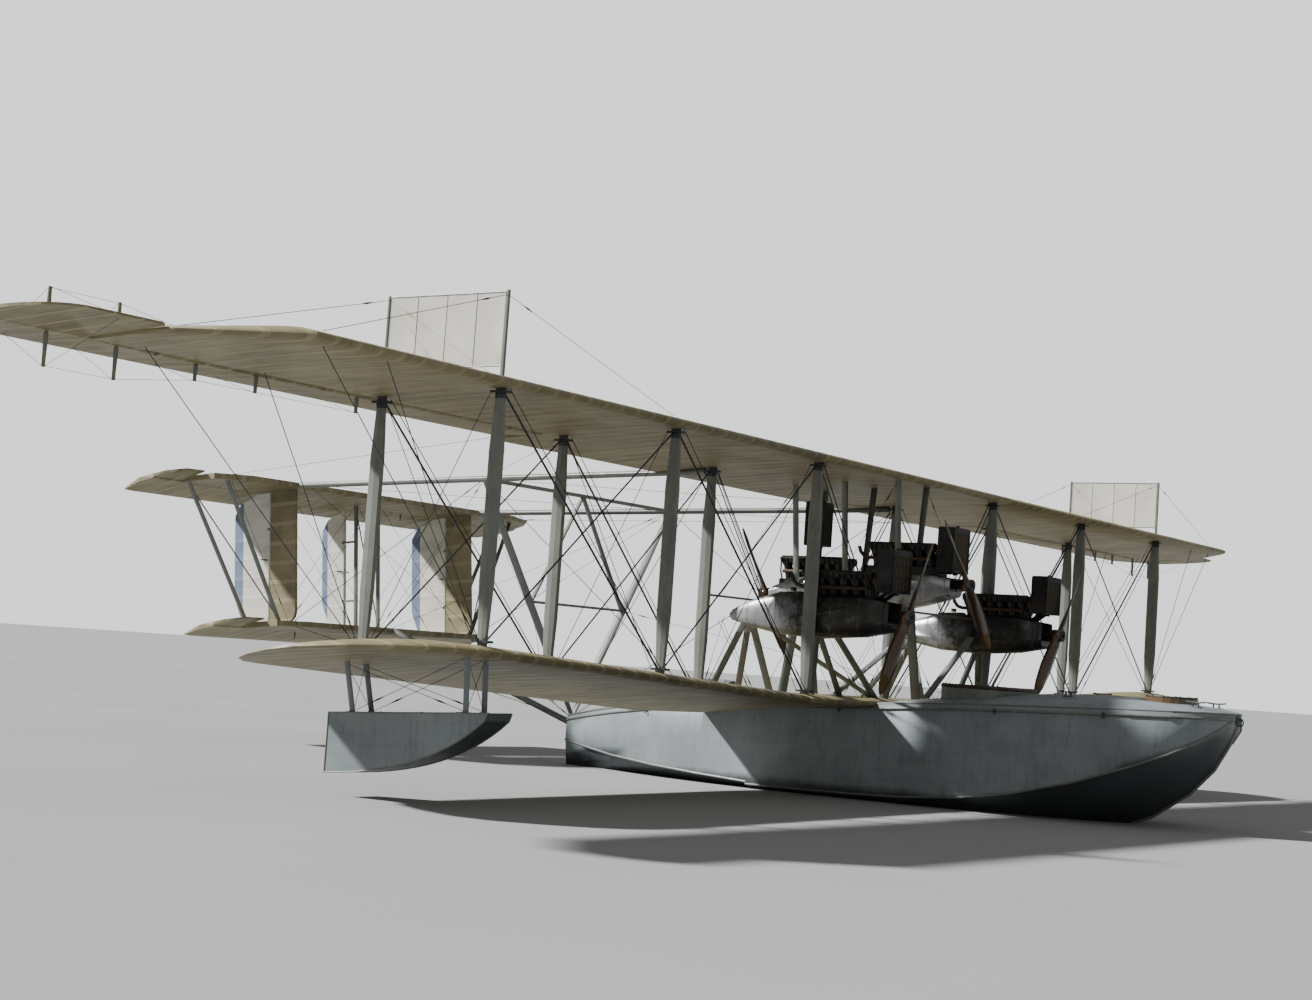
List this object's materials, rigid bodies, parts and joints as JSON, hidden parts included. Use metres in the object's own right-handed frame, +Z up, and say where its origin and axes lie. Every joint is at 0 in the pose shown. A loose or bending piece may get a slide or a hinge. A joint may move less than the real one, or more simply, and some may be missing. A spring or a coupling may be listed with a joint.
{
  "type": "four-engined biplane flying boat",
  "caption": "Large biplane flying boat with a short stepped hull, a biplane tail on booms, three nacelles between the wings, wing floats, and turning propellers and control surfaces.",
  "frame": {"origin": "on the waterline, on the centreline, under the centre of gravity", "axes": "+X towards the bow, +Y towards port, +Z up"},
  "size_m": [21.1379, 38.3764, 7.657],
  "materials": {
    "doped_linen": "satin",
    "hull_paint": "satin",
    "strut_paint": "satin",
    "nacelle_metal": "satin",
    "engine_metal": "satin",
    "propeller_wood": "varnished",
    "cockpit_leather": "worn",
    "cockpit_wood": "varnished",
    "wire_steel": "satin",
    "rudder_cloth": "satin"
  },
  "bodies": {
    "airframe": {"hull": "hull_paint", "bow_cockpit_ring": "cockpit_wood", "pilot_cockpit_coaming": "cockpit_leather", "pilot_seats": "cockpit_leather", "aft_hatch": "hull_paint", "upper_wing_centre": "doped_linen", "upper_wing_port": "doped_linen", "upper_wing_starboard": "doped_linen", "lower_wing_centre": "doped_linen", "lower_wing_port": "doped_linen", "lower_wing_starboard": "doped_linen", "strut_front_inner_port": "strut_paint", "strut_front_inner_starboard": "strut_paint", "strut_rear_inner_port": "strut_paint", "strut_rear_inner_starboard": "strut_paint", "strut_front_middle_port": "strut_paint", "strut_front_middle_starboard": "strut_paint", "strut_rear_middle_port": "strut_paint", "strut_rear_middle_starboard": "strut_paint", "strut_front_outer_port": "strut_paint", "strut_front_outer_starboard": "strut_paint", "strut_rear_outer_port": "strut_paint", "strut_rear_outer_starboard": "strut_paint", "wing_stays_port": "wire_steel", "wing_stays_starboard": "wire_steel", "nacelle_port": "nacelle_metal", "nacelle_starboard": "nacelle_metal", "nacelle_centre": "nacelle_metal", "engine_port": "engine_metal", "engine_starboard": "engine_metal", "engine_front": "engine_metal", "engine_rear": "engine_metal", "tailplane_upper": "doped_linen", "tailplane_lower": "doped_linen", "fin_port": "doped_linen", "fin_starboard": "doped_linen", "tail_frame_centre": "strut_paint", "tail_frame_port": "strut_paint", "tail_frame_starboard": "strut_paint", "tail_boom_port": "strut_paint", "tail_boom_starboard": "strut_paint", "stern_frame": "strut_paint", "keel_boom": "strut_paint", "float_port": "hull_paint", "float_starboard": "hull_paint", "skid_fin_port": "doped_linen", "skid_fin_starboard": "doped_linen"},
    "propeller_port": {"propeller_port": "propeller_wood"},
    "propeller_starboard": {"propeller_starboard": "propeller_wood"},
    "propeller_front": {"propeller_front": "propeller_wood"},
    "propeller_rear": {"propeller_rear": "propeller_wood"},
    "aileron_port": {"aileron_port": "doped_linen"},
    "aileron_starboard": {"aileron_starboard": "doped_linen"},
    "elevator_upper": {"elevator_upper": "doped_linen"},
    "elevator_lower": {"elevator_lower": "doped_linen"},
    "rudder_centre": {"rudder_centre": "rudder_cloth"},
    "rudder_port": {"rudder_port": "rudder_cloth"},
    "rudder_starboard": {"rudder_starboard": "rudder_cloth"}
  },
  "joints": [
    {"name": "propeller_port_spin", "type": "hinge", "parent": "airframe", "child": "propeller_port", "pos_m": [2.67, 3.12, 3.2], "axis": [1, 0, 0], "continuous": true},
    {"name": "propeller_starboard_spin", "type": "hinge", "parent": "airframe", "child": "propeller_starboard", "pos_m": [2.67, -3.12, 3.2], "axis": [1, 0, 0], "continuous": true},
    {"name": "propeller_front_spin", "type": "hinge", "parent": "airframe", "child": "propeller_front", "pos_m": [2.23, 0, 3.93], "axis": [1, 0, 0], "continuous": true},
    {"name": "propeller_rear_spin", "type": "hinge", "parent": "airframe", "child": "propeller_rear", "pos_m": [-2, 0, 3.62], "axis": [1, 0, 0], "continuous": true},
    {"name": "aileron_port_hinge", "type": "hinge", "parent": "airframe", "child": "aileron_port", "pos_m": [-1.4, 13.2, 5.69841], "axis": [0, 1, 0], "range_deg": [-20, 20]},
    {"name": "aileron_starboard_hinge", "type": "hinge", "parent": "airframe", "child": "aileron_starboard", "pos_m": [-1.4, -13.2, 5.69841], "axis": [0, 1, 0], "range_deg": [-20, 20]},
    {"name": "elevator_upper_hinge", "type": "hinge", "parent": "airframe", "child": "elevator_upper", "pos_m": [-12.82058, 0, 5.16689], "axis": [0, 1, 0], "range_deg": [-11, 29]},
    {"name": "elevator_lower_hinge", "type": "hinge", "parent": "airframe", "child": "elevator_lower", "pos_m": [-12.53605, 0, 2.33113], "axis": [0, 1, 0], "range_deg": [-11, 29]},
    {"name": "rudder_centre_hinge", "type": "hinge", "parent": "airframe", "child": "rudder_centre", "pos_m": [-12.86188, 0, 3.67532], "axis": [-0.0998, 0, 0.995], "range_deg": [-25, 25]},
    {"name": "rudder_port_hinge", "type": "hinge", "parent": "airframe", "child": "rudder_port", "pos_m": [-12.34945, 2.85, 3.72673], "axis": [-0.0998, 0, 0.995], "range_deg": [-25, 25]},
    {"name": "rudder_starboard_hinge", "type": "hinge", "parent": "airframe", "child": "rudder_starboard", "pos_m": [-12.34945, -2.85, 3.72673], "axis": [-0.0998, 0, 0.995], "range_deg": [-25, 25]}
  ],
  "couplings": [
    {"joint": "aileron_starboard_hinge", "follows": "aileron_port_hinge", "ratio": -1},
    {"joint": "elevator_lower_hinge", "follows": "elevator_upper_hinge", "ratio": 1},
    {"joint": "rudder_port_hinge", "follows": "rudder_centre_hinge", "ratio": 1},
    {"joint": "rudder_starboard_hinge", "follows": "rudder_centre_hinge", "ratio": 1}
  ]
}
